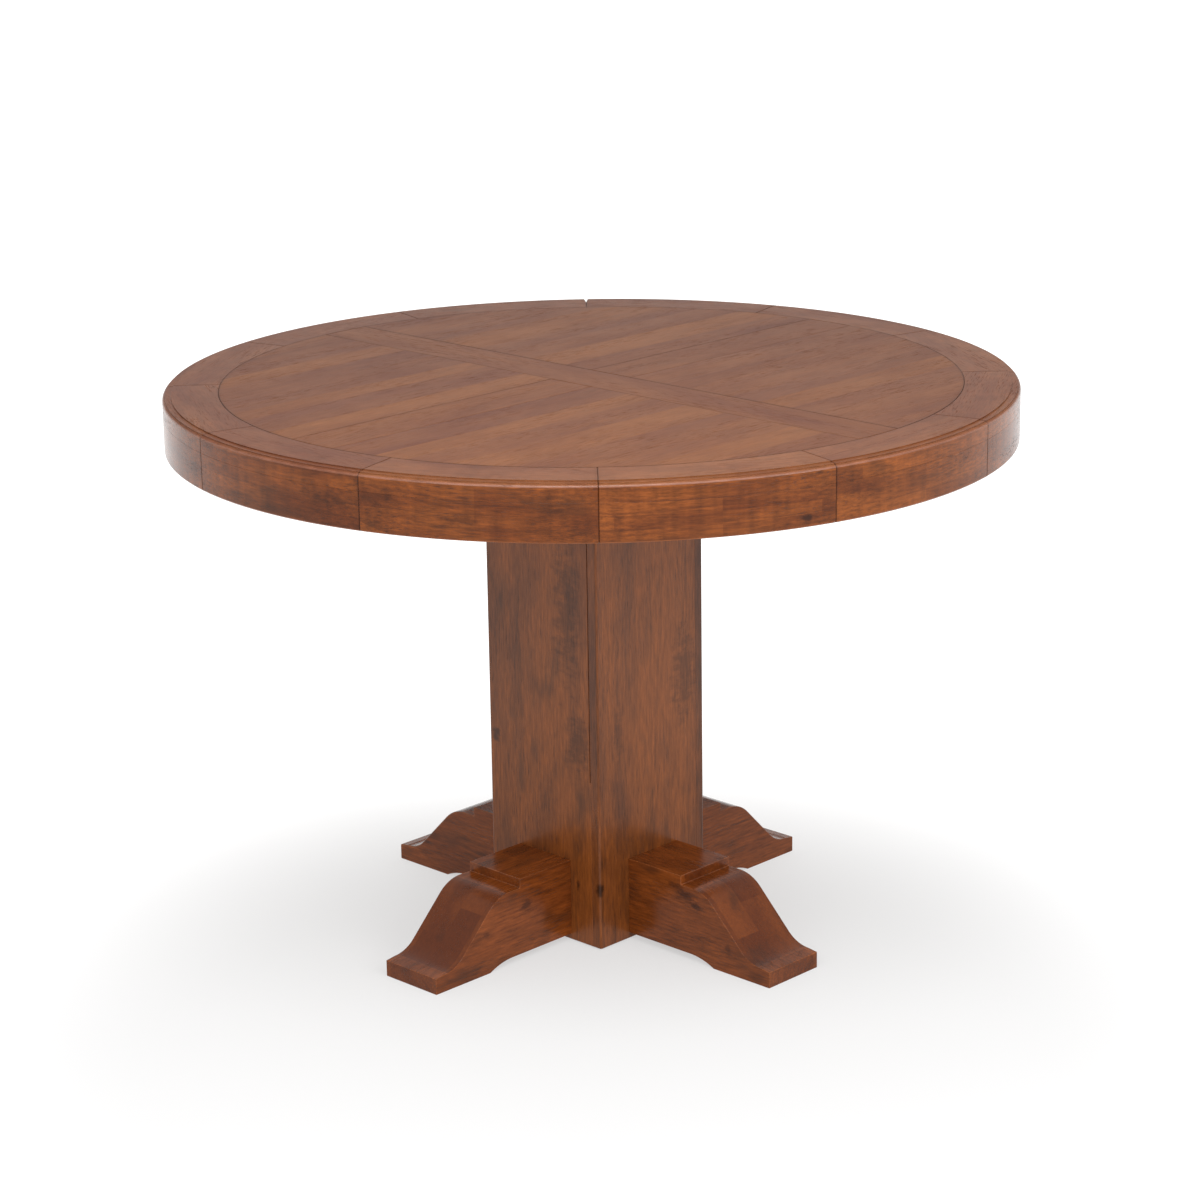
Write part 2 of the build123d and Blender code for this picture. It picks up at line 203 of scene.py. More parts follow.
def rings(graph, place, bend_y, bend_z, ripple):
    """Growth rings of uneven strength, each dark at its start."""
    x, y, z = graph.split(place)
    wide_y = graph.math("MULTIPLY_ADD", bend_y, RING_BEND, y)
    wide_z = graph.math("MULTIPLY_ADD", bend_z, RING_BEND, z)
    radius = graph.vector("LENGTH", graph.join(0.0, wide_y, wide_z))
    wavy = graph.math("DIVIDE", graph.math("MULTIPLY_ADD", ripple, RING_RIPPLE, radius), RING_SPACING)
    part = graph.math("FRACT", wavy)
    strength = graph.random(graph.math("FLOOR", wavy))
    ring = graph.math("MULTIPLY", graph.ramp(part, 0.0, 0.8, 1.0, 0.0), graph.ramp(part, 0.85, 1.0, 1.0, 0.0))
    return graph.math("MULTIPLY", graph.math("MULTIPLY", ring, strength), graph.ramp(bend_y, -0.12, 0.14))


def pores(graph, spot, other_spot):
    """Fine dark pores, stronger in some places than in others."""
    pore = graph.ramp(graph.noise(spot, (48, 640, 640), 2), 0.52, 0.70)
    coarse = graph.ramp(graph.noise(other_spot, (5, 30, 30), 2), 0.40, 0.62)
    return graph.math("MULTIPLY", pore, graph.math("MULTIPLY_ADD", coarse, 0.8, 0.2))


def knots_of(graph, spot, bend, ripple):
    """Knots in some of the cells that divide the wood."""
    x, y, z = graph.split(spot)
    sideways = graph.math("MULTIPLY", graph.math("ADD", y, z), KNOT_CELLS_ACROSS)
    across = graph.math("MULTIPLY_ADD", ripple, 0.5, sideways)
    along = graph.math("MULTIPLY_ADD", bend, 0.8, graph.math("MULTIPLY", x, KNOT_CELLS_ALONG))
    cell = graph.node("ShaderNodeTexVoronoi", voronoi_dimensions="2D")
    graph.feed(cell.inputs["Vector"], graph.join(along, across, 0.0))
    graph.feed(cell.inputs["Scale"], 1.0)
    chosen = graph.math("GREATER_THAN", graph.split(cell.outputs["Color"])[0], CELLS_WITHOUT_KNOT)
    return graph.math("MULTIPLY", graph.ramp(cell.outputs["Distance"], 0.02, 0.12, 1.0, 0.0), chosen)


def make_oak_figure():
    """Growth rings, pores, fibre, streaks, patches, mottling, knots and cross-grain flame, all 0 to 1."""
    names = ("Ring", "Pore", "Fibre", "Streak", "Patch", "Cloud", "Knot", "Flame")
    graph, given, result = new_group(
        "oak_figure", (("Place", VECTOR), ("Seed", FLOAT)), [(name, FLOAT) for name in names]
    )
    place, seed = given["Place"], given["Seed"]
    drift = graph.vector("MULTIPLY", graph.join(seed, seed, seed), (17.3, 9.1, 13.7))
    spot = graph.vector("ADD", place, drift)
    other_spot = graph.vector("ADD", spot, (3.1, 7.7, 1.3))
    bend_y = graph.math("SUBTRACT", graph.noise(spot, (1.7, 5, 5), 2), 0.5)
    bend_z = graph.math("SUBTRACT", graph.noise(other_spot, (1.4, 5, 5), 2), 0.5)
    ripple = graph.math("SUBTRACT", graph.noise(spot, (14, 55, 55), 3), 0.5)
    graph.feed(result["Ring"], rings(graph, place, bend_y, bend_z, ripple))
    graph.feed(result["Pore"], pores(graph, spot, other_spot))
    graph.feed(result["Fibre"], graph.noise(spot, (32, 300, 300), 4, 0.75))
    graph.feed(result["Streak"], graph.noise(spot, (2.2, 26, 26), 3, 0.55))
    graph.feed(result["Patch"], graph.ramp(graph.noise(other_spot, (8, 24, 24), 3, 0.6), 0.54, 0.72))
    graph.feed(result["Cloud"], graph.noise(spot, (7, 16, 16), 3, 0.6))
    graph.feed(result["Knot"], knots_of(graph, other_spot, bend_y, ripple))
    graph.feed(result["Flame"], graph.noise(other_spot, (75, 12, 12), 2))
    return graph.tree


def make_seams():
    """How close a point is to a joint of the top or the apron: 1 at the joint, 0 a given width away.

    The long bar's joint is fainter on its right and the short bars' fainter again, the most so in front: each
    joint is darker on its side away from the view as painted shade in its groove.
    """
    graph, given, result = new_group("seams", (("Place", VECTOR), ("Width", FLOAT)), (("Near", FLOAT),))
    x, y, z = graph.split(given["Place"])
    width = given["Width"]
    radius = graph.vector("LENGTH", graph.join(x, y, 0.0))
    across_x = graph.math("ABSOLUTE", x)
    across_y = graph.math("ABSOLUTE", y)

    def near(distance):
        return graph.math("SUBTRACT", 1.0, graph.math("DIVIDE", distance, width), clamp=True)

    def gap(value, target):
        return graph.math("ABSOLUTE", graph.math("SUBTRACT", value, target))

    inside = graph.math("LESS_THAN", radius, RING_INNER)
    outside = graph.math("SUBTRACT", 1.0, inside)
    ring = near(gap(radius, RING_INNER))
    left = graph.math("GREATER_THAN", y, 0.0)
    long_strength = graph.math("MULTIPLY", inside, graph.math("MULTIPLY_ADD", left, 0.4, 0.6))
    long_bar = graph.math("MULTIPLY", near(gap(across_y, HALF_BAR)), long_strength)
    back = graph.math("LESS_THAN", x, 0.0)
    beyond_bar = graph.math("GREATER_THAN", across_y, HALF_BAR)
    short_strength = graph.math("MULTIPLY", inside, graph.math("MULTIPLY_ADD", back, 0.3, 0.3))
    short_strength = graph.math("MULTIPLY", short_strength, beyond_bar)
    short_bar = graph.math("MULTIPLY", near(gap(across_x, HALF_BAR)), short_strength)
    angle = graph.math("ARCTAN2", y, x)
    turn = graph.math("SUBTRACT", graph.math("DIVIDE", angle, SEGMENT_ANGLE), 0.5)
    part = graph.math("ABSOLUTE", graph.math("SUBTRACT", turn, graph.math("ROUND", turn)))
    joint_gap = graph.math("MULTIPLY", graph.math("MULTIPLY", part, SEGMENT_ANGLE), radius)
    joint = graph.math("MULTIPLY", near(joint_gap), outside)
    bars = graph.math("MAXIMUM", long_bar, short_bar)
    border = graph.math("MAXIMUM", ring, joint)
    graph.feed(result["Near"], graph.math("MAXIMUM", bars, border))
    return graph.tree


def call(graph, group, **values):
    """Adds a node group to a tree, with its inputs set by name."""
    node = graph.node("ShaderNodeGroup", node_tree=group)
    for name, value in values.items():
        graph.feed(node.inputs[name], value)
    return node.outputs


OAK_FIGURE = make_oak_figure()
SEAMS = make_seams()


def principled(name, **sockets):
    """A material with a Principled shader, its sockets set by name. Returns it, its graph and the shader."""
    material = bpy.data.materials.new(name)
    material.use_nodes = True
    graph = Graph(material.node_tree)
    shader = next(n for n in material.node_tree.nodes if n.type == "BSDF_PRINCIPLED")
    for label, value in sockets.items():
        graph.feed(shader.inputs[label.replace("_", " ")], value)
    return material, graph, shader


def paint(colour, scale=1.0):
    """A colour with its alpha, made lighter or darker by a factor."""
    return (*[c * scale for c in colour], 1)


def bumpy(graph, height, strength, distance, invert=False):
    """The normal of a surface with a fine relief."""
    bump = graph.node("ShaderNodeBump", invert=invert)
    graph.feed(bump.inputs["Strength"], strength)
    graph.feed(bump.inputs["Distance"], distance)
    graph.feed(bump.inputs["Height"], height)
    return bump.outputs[0]


def place_in_board(graph, place):
    """A point's place in its own board: X along the grain, Y and Z out from the heart."""
    heart = graph.attribute("heart", "Vector")
    turned = graph.node("ShaderNodeVectorRotate", rotation_type="EULER_XYZ")
    graph.feed(turned.inputs["Vector"], place)
    graph.feed(turned.inputs["Center"], heart)
    graph.feed(turned.inputs["Rotation"], graph.attribute("lay", "Vector"))
    return graph.vector("SUBTRACT", turned.outputs[0], heart)


# Width of the dark line in a joint, and of the darker band beside it, partly painted shade
SEAM_LINE = 0.0016
SEAM_HALO = 0.007


def seam_stain_and_shade(graph, place):
    """How dark the joints make a point: a dark line in each joint, with painted shade in and beside the
    grooves.
    """
    line = call(graph, SEAMS, Place=place, Width=SEAM_LINE)["Near"]
    halo = call(graph, SEAMS, Place=place, Width=SEAM_HALO)["Near"]
    return graph.math("MULTIPLY_ADD", halo, 0.15, graph.math("MULTIPLY", line, 0.6), clamp=True)


def oak(
    name,
    light,
    dark,
    deep,
    contrast=1.0,
    spread=1.0,
    patches=1.0,
    knots=1.0,
    flame=0.0,
    seams=0.0,
    build="",
    gloss=0.34,
    shine=0.25,
):
    """Stained and lacquered oak.

    Light and dark are the wood between its rings, and deep is its rings and pores. Contrast is the grain's
    strength, and spread the strength of the slow change from light to dark. Patches, knots, flame and seams
    are strengths too. Build names how the piece is glued up, gloss is the lacquer's roughness, and shine
    how much it reflects.
    """
    material, graph, shader = principled(
        name,
        IOR=1.45,
        Specular_IOR_Level=shine,
        Coat_Weight=0.3 * shine,
        Coat_Roughness=0.12,
        Coat_IOR=1.45,
    )
    place = graph.node("ShaderNodeTexCoord").outputs["Object"]
    own = place_in_board(graph, place)
    seed = graph.attribute("seed")
    tone = graph.attribute("tone")
    edge, worn = None, None
    if build:
        block, edge, worn = BUILDS[build](graph, own, place, seed)
        tone = graph.math("ADD", tone, block)
    figure = call(graph, OAK_FIGURE, Place=own, Seed=seed)
    mix = graph.math("MULTIPLY_ADD", figure["Streak"], 1.5, tone)
    mix = graph.math("MULTIPLY_ADD", figure["Cloud"], 1.5, mix)
    mix = graph.ramp(mix, 2.0 - 0.7 / spread, 2.0 + 0.7 / spread, smooth=False)
    colour = graph.blend(mix, paint(light), paint(dark))
    shade = graph.math("MULTIPLY_ADD", graph.math("SUBTRACT", figure["Fibre"], 0.5), 1.1 * contrast, 1.0)
    shade = graph.math("MULTIPLY_ADD", graph.math("SUBTRACT", figure["Flame"], 0.5), flame, shade)
    colour = graph.blend(1.0, colour, shade, "MULTIPLY")
    grain = graph.math("MULTIPLY", figure["Ring"], 0.30 * contrast)
    if edge is not None:
        grain = graph.math("MULTIPLY_ADD", edge, 0.3, grain)
    grain = graph.math("MULTIPLY_ADD", figure["Pore"], 0.32 * contrast, grain, clamp=True)
    colour = graph.blend(grain, colour, paint(deep))
    colour = graph.blend(graph.math("MULTIPLY", figure["Patch"], 0.50 * patches), colour, smoky(deep))
    colour = graph.blend(graph.math("MULTIPLY", figure["Knot"], 0.75 * knots), colour, paint(deep, 0.5))
    if name in MARKS:
        colour = graph.blend(marks(graph, place, MARKS[name]), colour, paint(deep, 0.7))
    if worn is not None:
        colour = graph.blend(worn, colour, paint(light, 1.7))
    # Dark joints: a dark line in each joint, with painted shade in and beside the grooves.
    if seams:
        joint_line_and_shade = graph.math("MULTIPLY", seam_stain_and_shade(graph, place), seams)
        colour = graph.blend(joint_line_and_shade, colour, paint(deep, 0.6))
    graph.feed(shader.inputs["Base Color"], colour)
    rough = graph.math("MULTIPLY_ADD", figure["Pore"], 0.20, gloss - 0.06)
    rough = graph.math("MULTIPLY_ADD", figure["Cloud"], 0.12, rough)
    graph.feed(shader.inputs["Roughness"], rough)
    height = graph.math("MULTIPLY_ADD", figure["Fibre"], 0.5, figure["Pore"])
    graph.feed(shader.inputs["Normal"], bumpy(graph, height, 0.35, 0.0003, invert=True))
    return material


def marks(graph, place, spots):
    """How dark the wood's own marks make a point.

    Each mark has a middle, a level and an upright reach, and a strength.
    """
    wobble = graph.math("SUBTRACT", graph.noise(place, (60, 60, 110), 4, 0.65), 0.5)
    darkest = 0.0
    for middle, level, upright, strength in spots:
        away = graph.vector("SUBTRACT", place, middle)
        reach = graph.vector("LENGTH", graph.vector("MULTIPLY", away, (1 / level, 1 / level, 1 / upright)))
        reach = graph.math("MULTIPLY_ADD", wobble, 2.4, reach)
        darkest = graph.math("MAXIMUM", darkest, graph.ramp(reach, 0.1, 1.1, strength, 0.0))
    return darkest


def smoky(deep):
    """The cooler brown of a stained patch."""
    return (deep[0] * 1.1, deep[1] * 1.5, deep[2] * 2.0, 1)


def uneven(graph, key, strength):
    """A tone that is darker or lighter by chance for each key."""
    return graph.math("MULTIPLY", graph.math("SUBTRACT", graph.random(key), 0.5), strength)


# How a piece is glued up. Each returns its blocks' tone, how dark their joints are and how worn its arrises
# are, or None for what it doesn't have.


def courses(graph, own, place, seed):
    """The border's and the apron's outer face: blocks glued in courses, and a worn lower arris."""
    height = graph.split(place)[2]
    row_value = graph.math("DIVIDE", graph.math("SUBTRACT", height, APRON_LOW), COURSE_HEIGHT)
    row = graph.math("FLOOR", row_value)
    row_random = graph.random(graph.math("MULTIPLY_ADD", seed, 7.0, row))
    length = graph.math("MULTIPLY_ADD", row_random, COURSE_BLOCK_SPREAD, COURSE_BLOCK)
    along = graph.math("FLOOR", graph.math("DIVIDE", graph.split(own)[0], length))
    key = graph.math("MULTIPLY_ADD", along, 3.7, graph.math("MULTIPLY_ADD", row, 11.3, seed))
    edge = graph.ramp(graph.math("PINGPONG", row_value, 0.5), 0.0, 0.06, 0.6, 0.0)
    low, high = [APRON_LOW + wear for wear in APRON_WEAR]
    worn = graph.ramp(height, low, high, 0.6, 0.0)
    return uneven(graph, key, COURSES_DIFFER), edge, worn


def along_and_across(graph, place):
    """How far a point is out from the column's axis along the nearer of X and Y, and how far across it."""
    x, y, z = graph.split(place)
    from_x, from_y = graph.math("ABSOLUTE", x), graph.math("ABSOLUTE", y)
    along_y = graph.math("GREATER_THAN", from_y, from_x)
    across = graph.math("MULTIPLY_ADD", graph.math("SUBTRACT", x, y), along_y, y)
    return graph.math("MAXIMUM", from_x, from_y), across


def staves(graph, own, place, seed):
    """A column board: two upright staves, and worn corners."""
    across = along_and_across(graph, place)[1]
    key = graph.math("MULTIPLY_ADD", graph.math("GREATER_THAN", across, 0.0), 5.3, seed)
    distance = graph.math("ABSOLUTE", across)
    edge = graph.ramp(distance, 0.0, GLUE_LINE, 0.7, 0.0)
    rubbed = graph.ramp(graph.noise(place, (30, 30, 12), 3, 0.6), 0.48, 0.70, 0.0, 0.22)
    near, far = [HALF_COLUMN - wear for wear in CORNER_WEAR]
    worn = graph.math("MULTIPLY", graph.ramp(distance, near, far), rubbed)
    return uneven(graph, key, STAVES_DIFFER), edge, worn


def layers(graph, own, place, seed):
    """A foot: blocks in two layers between a board on each side."""
    out, across = along_and_across(graph, place)
    core = graph.math("LESS_THAN", graph.math("ABSOLUTE", across), FOOT_CORE)
    layer = graph.math("GREATER_THAN", across, 0.0)
    along = graph.math("MULTIPLY_ADD", layer, 0.43, graph.math("DIVIDE", out, FOOT_BLOCK))
    number = graph.math("FLOOR", along)
    key = graph.math("MULTIPLY_ADD", layer, 3.1, graph.math("MULTIPLY_ADD", number, 7.9, seed))
    return uneven(graph, key, graph.math("MULTIPLY", core, LAYERS_DIFFER)), None, None


BUILDS = {"courses": courses, "staves": staves, "layers": layers}

# Knots and smudges that stand out, by material
MARKS = {
    "apron_oak": (
        ((0.544, -0.188, 0.708), 0.012, 0.006, 0.95),
        ((0.275, -0.505, 0.721), 0.036, 0.008, 0.60),
        ((0.188, -0.543, 0.742), 0.018, 0.006, 0.50),
        ((0.370, -0.440, 0.734), 0.016, 0.006, 0.45),
        ((0.115, -0.563, 0.731), 0.040, 0.012, 0.55),
    ),
    "column_oak": (
        ((0.048, -0.105, 0.470), 0.028, 0.130, 0.50),
        ((0.067, -0.105, 0.289), 0.026, 0.060, 0.50),
        ((0.104, -0.105, 0.088), 0.009, 0.012, 0.90),
        ((-0.091, -0.105, 0.270), 0.010, 0.016, 0.75),
        ((0.063, -0.105, 0.084), 0.004, 0.010, 0.80),
        ((0.105, 0.066, 0.360), 0.030, 0.080, 0.45),
        ((0.105, -0.066, 0.302), 0.012, 0.045, 0.35),
    ),
    "foot_oak": (
        ((0.049, -0.192, 0.078), 0.014, 0.012, 0.65),
        ((0.049, -0.267, 0.057), 0.010, 0.006, 0.50),
        ((0.194, -0.049, 0.102), 0.018, 0.006, 0.60),
        ((0.212, -0.049, 0.093), 0.022, 0.009, 0.75),
        ((0.232, -0.049, 0.083), 0.016, 0.008, 0.75),
        ((0.288, -0.049, 0.035), 0.008, 0.010, 0.50),
    ),
}


def metal(name, colour, roughness):
    """Plated or turned metal with fine scratches."""
    material, graph, shader = principled(name, Metallic=1.0)
    place = graph.node("ShaderNodeTexCoord").outputs["Object"]
    mottle = graph.noise(place, (260, 260, 260), 3)
    scratch = graph.noise(place, (3000, 600, 900), 2)
    graph.feed(shader.inputs["Base Color"], graph.blend(mottle, paint(colour, 0.75), paint(colour)))
    graph.feed(shader.inputs["Roughness"], graph.math("MULTIPLY_ADD", scratch, 0.25, roughness))
    graph.feed(shader.inputs["Normal"], bumpy(graph, scratch, 0.2, 0.0001))
    return material


# Where each piece's wood comes from

# How dark each segment of the border and of the apron is, from +X round to the left
RING_TONES = (0.60, 0.60, 0.55, 0.60, 0.65, 0.70, 0.65, 0.70, 0.85, 0.75, 0.50, 0.30)
APRON_TONES = (0.30, 0.45, 0.50, 0.40, 0.50, 0.60, 0.50, 0.45, 0.55, 0.50, 0.50, 0.35)

# How dark each stave of each quarter panel is, from the middle line out
STAVE_TONES = (
    (0.55, 0.70, 0.50, 0.80, 0.05, 0.60, 0.50, 0.70),
    (0.70, 0.05, 0.60, 0.65, 0.00, 0.70, 0.60, 0.75),
    (0.10, 0.80, 0.25, 0.70, 0.80, 0.20, 0.70, 0.55),
    (0.80, 0.10, 0.60, 0.10, 0.75, 0.55, 0.15, 0.65),
)

# How dark the edges of the column's boards are, and the sides, S-curves and level faces of the feet: the
# S-curves are darker as painted shade and the level faces lighter as painted light
BOARD_EDGE_TONE = 0.65
FOOT_TONE = 0.4
FOOT_SLOPE_SHADE_TONE = 0.9
FOOT_LEVEL_LIGHT_TONE = 0.0

# The turn that brings an upright direction onto the oak's grain
UPRIGHT = Matrix.Rotation(QUARTER_TURN, 3, "Y")


def flat_lay(angle):
    """The turn that brings a level direction onto the oak's grain."""
    return Matrix.Rotation(-angle, 3, "Z")


def set_wood(obj, faces, lay, seed, twin=None, tone=None):
    """Gives some of a mesh's faces their turn, heart, seed and tone. The heart lies beside the faces' middle.

    A piece with a twin has the twin's heart, seed and tone, so that the figure runs on from one to the other.
    """
    mesh = obj.data
    chance = random.Random(f"{(twin or obj).name} {seed}")
    if twin:
        low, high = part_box(twin.name)
    else:
        points = [mesh.vertices[v].co for face in faces for v in face.vertices]
        low = Vector([min(p[i] for p in points) for i in range(3)])
        high = Vector([max(p[i] for p in points) for i in range(3)])
    middle = (low + high) / 2
    beside = Vector((0.0, chance.uniform(-0.07, 0.07), -chance.uniform(0.05, 0.16)))
    heart = middle + lay.inverted() @ beside
    number = chance.uniform(0, 10)
    shade = chance.uniform(0.3, 0.7) if tone is None else tone
    values = {"heart": heart, "lay": Vector(lay.to_euler("XYZ")), "seed": number, "tone": shade}
    for name, value in values.items():
        kind, field = ("FLOAT", "value") if isinstance(value, float) else ("FLOAT_VECTOR", "vector")
        layer = mesh.attributes.get(name) or mesh.attributes.new(name, kind, "FACE")
        for face in faces:
            setattr(layer.data[face.index], field, value)


def outer_faces(ring):
    """The faces of a border segment's outside: the upright one and the steeper half of the round over it."""
    steep = [face for face in ring.data.polygons if face.normal.z < OUTSIDE_FACES_UP]
    return [face for face in steep if face.center.xy.length > TOP_RADIUS - OUTSIDE_DEPTH]


def slopes(foot):
    """The faces of a foot's S-curve."""
    low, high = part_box(foot.name)
    outward = Vector((low.x + high.x, low.y + high.y, 0.0)).normalized()
    least, most = SLOPE_FACES_OUT
    return [face for face in foot.data.polygons if least < face.normal.dot(outward) < most]


def stave_of(face, mesh, edges):
    """Which stave of a quarter panel a face belongs to."""
    middle = sum((mesh.vertices[v].co for v in face.vertices), Vector()) / len(face.vertices)
    across = abs(middle.x)
    return sum(across > edge for edge in edges[1:-1])


def stave_edges(panel):
    """Distances from the middle line to the edges of a quarter panel's staves, as in the part."""
    width = (RING_INNER - HALF_BAR) / STAVES_PER_PANEL
    inner = [
        HALF_BAR + width * (i + STAVE_WANDER * math.sin(2.4 * i + 1.7 * panel))
        for i in range(1, STAVES_PER_PANEL)
    ]
    return [HALF_BAR] + inner + [RING_INNER]


def lay_out_wood():
    """Chooses the grain's direction and the tone for each wooden piece."""
    along_x, along_y = flat_lay(0), flat_lay(QUARTER_TURN)
    for index in range(SEGMENTS):
        segment_lay = flat_lay(SEGMENT_ANGLE * index + QUARTER_TURN)
        ring = nodes[f"ring_segment_{index + 1:02d}"]
        apron = nodes[f"apron_segment_{index + 1:02d}"]
        set_wood(ring, ring.data.polygons, segment_lay, 0, twin=apron, tone=RING_TONES[index])
        for piece, faces in ((ring, outer_faces(ring)), (apron, apron.data.polygons)):
            set_wood(piece, faces, segment_lay, 0, twin=apron, tone=APRON_TONES[index])
    for number in range(QUARTERS):
        panel = nodes[f"panel_{number + 1}"]
        edges = stave_edges(number)
        staves_of_panel = [[] for _ in range(STAVES_PER_PANEL)]
        for face in panel.data.polygons:
            staves_of_panel[stave_of(face, panel.data, edges)].append(face)
        for stave, faces in enumerate(staves_of_panel):
            set_wood(panel, faces, along_y, stave, tone=STAVE_TONES[number][stave])
    for side, name in enumerate(SIDES):
        outward_lay = flat_lay(side * QUARTER_TURN)
        upright_lay = UPRIGHT @ outward_lay
        board, foot = nodes[f"column_board_{name}"], nodes[f"foot_{name}"]
        outward = Matrix.Rotation(side * QUARTER_TURN, 3, "Z") @ Vector((1, 0, 0))
        face_of_board = [face for face in board.data.polygons if face.normal.dot(outward) > 0.5]
        edges_of_board = [face for face in board.data.polygons if face.normal.dot(outward) <= 0.5]
        set_wood(board, face_of_board, upright_lay, 0)
        set_wood(board, edges_of_board, upright_lay, 1, tone=BOARD_EDGE_TONE)
        level = [face for face in foot.data.polygons if face.normal.z > 0.99]
        set_wood(foot, foot.data.polygons, outward_lay, 0, twin=foot, tone=FOOT_TONE)
        # The S-curves take a darker tone, painted shade, and the level faces a lighter one, painted light.
        set_wood(foot, slopes(foot), outward_lay, 0, twin=foot, tone=FOOT_SLOPE_SHADE_TONE)
        set_wood(foot, level, outward_lay, 0, twin=foot, tone=FOOT_LEVEL_LIGHT_TONE)
    lays = {"bar_long": along_x, "bearer_long": along_x, "bearer_cross": along_y}
    lays |= {"bar_short_left": along_y, "bar_short_right": along_y}
    lays |= {f"batten_{number + 1}": along_x for number in range(QUARTERS)}
    lays |= {"column_base_block": along_x, "column_head_block": along_y, "ring_dowels": along_x}
    lays |= {"apron_dowels": UPRIGHT, "column_corner_blocks": UPRIGHT}
    for name, lay in lays.items():
        set_wood(nodes[name], nodes[name].data.polygons, lay, 0)


# Materials by slot

# The top's panels and bars: oak, with its colours made greyer than the apron's as a painted sheen of the level
# top's reflection.
TOP_OAK = dict(
    light=(0.168, 0.059, 0.0186),
    dark=(0.104, 0.034, 0.0175),
    deep=(0.046, 0.012, 0.004),
    seams=0.9,
    shine=0.08,
)
APRON_OAK = dict(
    light=(0.160, 0.0425, 0.0066),
    dark=(0.078, 0.0175, 0.0026),
    deep=(0.034, 0.008, 0.002),
    contrast=1.8,
    spread=1.9,
    flame=0.9,
    seams=1.0,
    build="courses",
    gloss=0.20,
    shine=0.21,
)
COLUMN_OAK = dict(
    light=(0.178, 0.050, 0.010),
    dark=(0.084, 0.026, 0.009),
    deep=(0.030, 0.010, 0.004),
    contrast=1.6,
    spread=1.9,
    knots=0.3,
    build="staves",
    gloss=0.30,
)
FOOT_OAK = dict(
    light=(0.181, 0.0455, 0.0085),
    dark=(0.088, 0.0195, 0.0040),
    deep=(0.030, 0.008, 0.003),
    contrast=1.9,
    knots=0.5,
    build="layers",
    gloss=0.19,
    shine=0.22,
)
# The border's level top: paler and greyer than the apron's wood, a painted reflection on the level face.
BORDER_OAK = dict(TOP_OAK, light=(0.182, 0.067, 0.0250), patches=0.4, knots=0.0, flame=0.3, gloss=0.30)
# The round over the border's outside: paler, greyer wood, a painted sheen where it faces up, with wear.
BORDER_ROUND_WEAR_AND_SHEEN_OAK = dict(
    TOP_OAK,
    light=(0.228, 0.098, 0.0600),
    patches=0.6,
    knots=0.0,
    gloss=0.26,
    shine=0.25,
)
FRAME_WOOD = dict(
    light=(0.55, 0.36, 0.19),
    dark=(0.42, 0.26, 0.13),
    deep=(0.22, 0.12, 0.05),
    patches=0.0,
)
DOWEL_WOOD = dict(
    light=(0.58, 0.40, 0.22),
    dark=(0.48, 0.31, 0.16),
    deep=(0.30, 0.18, 0.08),
    patches=0.0,
)
OAKS = {
    "panel_oak": dict(TOP_OAK, patches=0.2, knots=0.0, contrast=0.8),
    "bar_oak": dict(TOP_OAK, patches=0.2, knots=0.0, contrast=0.8),
    "border_oak": BORDER_OAK,
    "border_edge_oak": BORDER_ROUND_WEAR_AND_SHEEN_OAK,
    "apron_oak": APRON_OAK,
    "column_oak": COLUMN_OAK,
    "foot_oak": FOOT_OAK,
    # The bevels along a foot's edges: lighter wood, painted highlight lines on the arrises, with wear.
    "foot_oak_worn": dict(FOOT_OAK, light=(0.240, 0.070, 0.018), dark=(0.120, 0.032, 0.010)),
    "foot_slope_oak": dict(FOOT_OAK, contrast=0.9),
    "frame_wood": FRAME_WOOD,
    "dowel_wood": DOWEL_WOOD,
}
METALS = {
    "screw_steel": ((0.62, 0.55, 0.36), 0.32),
    "bolt_steel": ((0.60, 0.61, 0.62), 0.30),
    "insert_brass": ((0.68, 0.49, 0.22), 0.30),
}


def make_materials():
    made = {slot: oak(slot, **values) for slot, values in OAKS.items()}
    made |= {slot: metal(slot, colour, roughness) for slot, (colour, roughness) in METALS.items()}
    return made


def add_material(obj, material, faces):
    """Gives some of a piece's faces another material. Returns the number of its slot."""
    obj.data.materials.append(material)
    slot = len(obj.data.materials) - 1
    for face in faces:
        face.material_index = slot
    return slot


def finish_pieces(materials):
    """Gives each CAD piece its material and, on the wood that shows, soft edges."""
    slots = {part["node"]: part["material_slot"] for part in frame["record"]["subparts"]}
    for name, obj in nodes.items():
        slot = slots[name]
        obj.data.materials.clear()
        obj.data.materials.append(materials[slot])
        if slot in BEVELS:
            bevel = soften(obj, BEVELS[slot])
        if slot == "border_oak":
            outside = outer_faces(obj)
            rounding = [face for face in outside if face.normal.z > UPRIGHT_FACES_UP]
            add_material(obj, materials["apron_oak"], outside)
            # The round's faces that face up take the paler wood: painted sheen, with wear.
            add_material(obj, materials["border_edge_oak"], rounding)
        if slot == "foot_oak":
            # Every bevel of a foot takes the lighter wood: painted highlight lines, with wear.
            bevel.material = add_material(obj, materials["foot_oak_worn"], [])
            add_material(obj, materials["foot_slope_oak"], slopes(obj))


def soften(obj, width):
    """Rounds a piece's sharp edges. Returns the modifier that does it."""
    weld = obj.modifiers.new("weld", "WELD")
    weld.merge_threshold = 0.00002
    flat = obj.modifiers.new("flat", "DECIMATE")
    flat.decimate_type = "DISSOLVE"
    flat.angle_limit = FLAT_ANGLE
    flat.delimit = {"MATERIAL"}
    bevel = obj.modifiers.new("bevel", "BEVEL")
    bevel.width = width
    bevel.segments = 3
    bevel.limit_method = "ANGLE"
    bevel.angle_limit = SHARP_ANGLE
    normals = obj.modifiers.new("normals", "WEIGHTED_NORMAL")
    normals.keep_sharp = True
    return bevel


